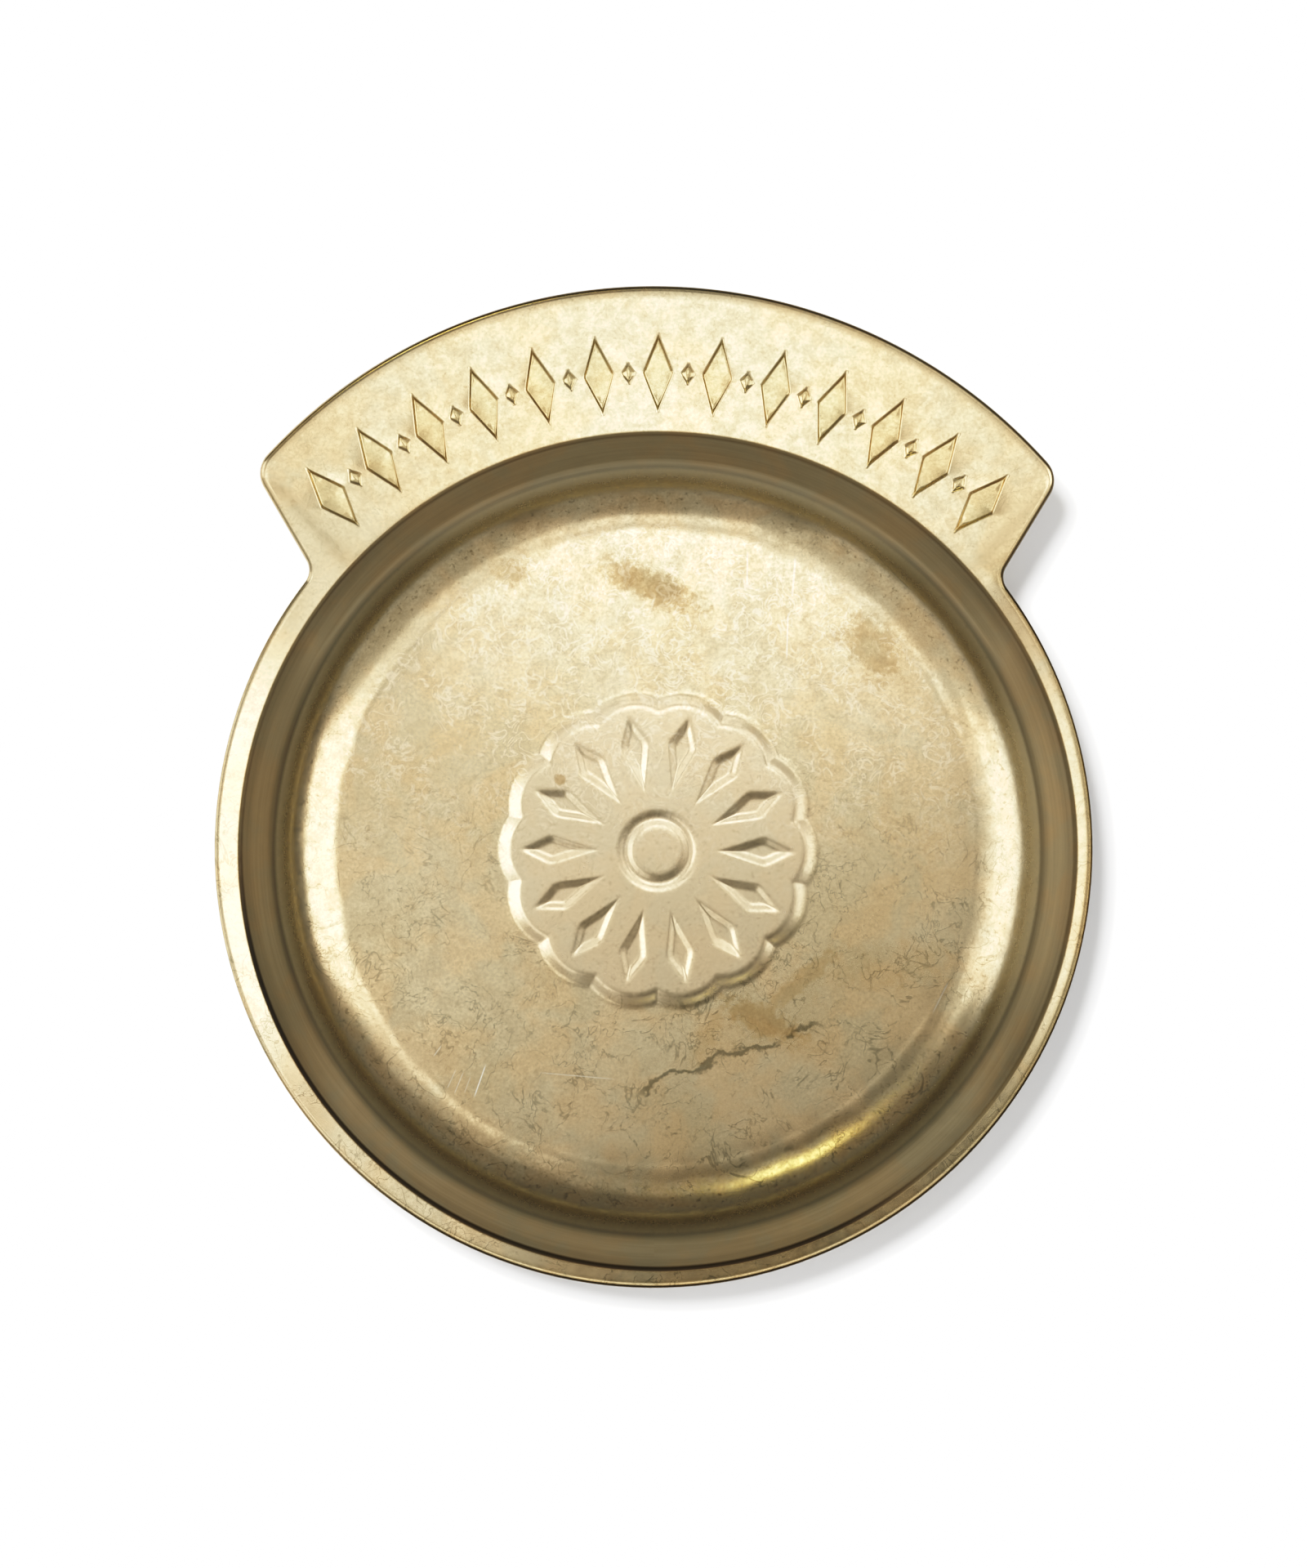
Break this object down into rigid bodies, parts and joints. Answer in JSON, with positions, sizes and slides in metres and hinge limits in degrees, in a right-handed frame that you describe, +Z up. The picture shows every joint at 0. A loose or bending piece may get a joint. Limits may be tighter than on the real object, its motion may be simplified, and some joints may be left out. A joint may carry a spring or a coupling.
{
  "type": "coin tray",
  "caption": "Round coin tray pressed from one brass sheet: flared dish, narrow flat rim with turned-down edge, and a wide arched tab on one side with pressed ornament.",
  "frame": {"origin": "centre of the round dish, on the surface the tray stands on (the underside of the pressed medallion)", "axes": "+Z up, out of the dish's mouth; +Y from the dish's centre to the middle of the tab; +X to the right, seen from above with the tab at the top"},
  "size_m": [0.132, 0.1506, 0.0141],
  "materials": {
    "brass": "unlacquered, mellowed to a pale tan gold, softly mottled, with fine scratches and brown tarnish in the bends"
  },
  "bodies": {
    "root": {"tray_pressing": "brass"}
  },
  "joints": []
}
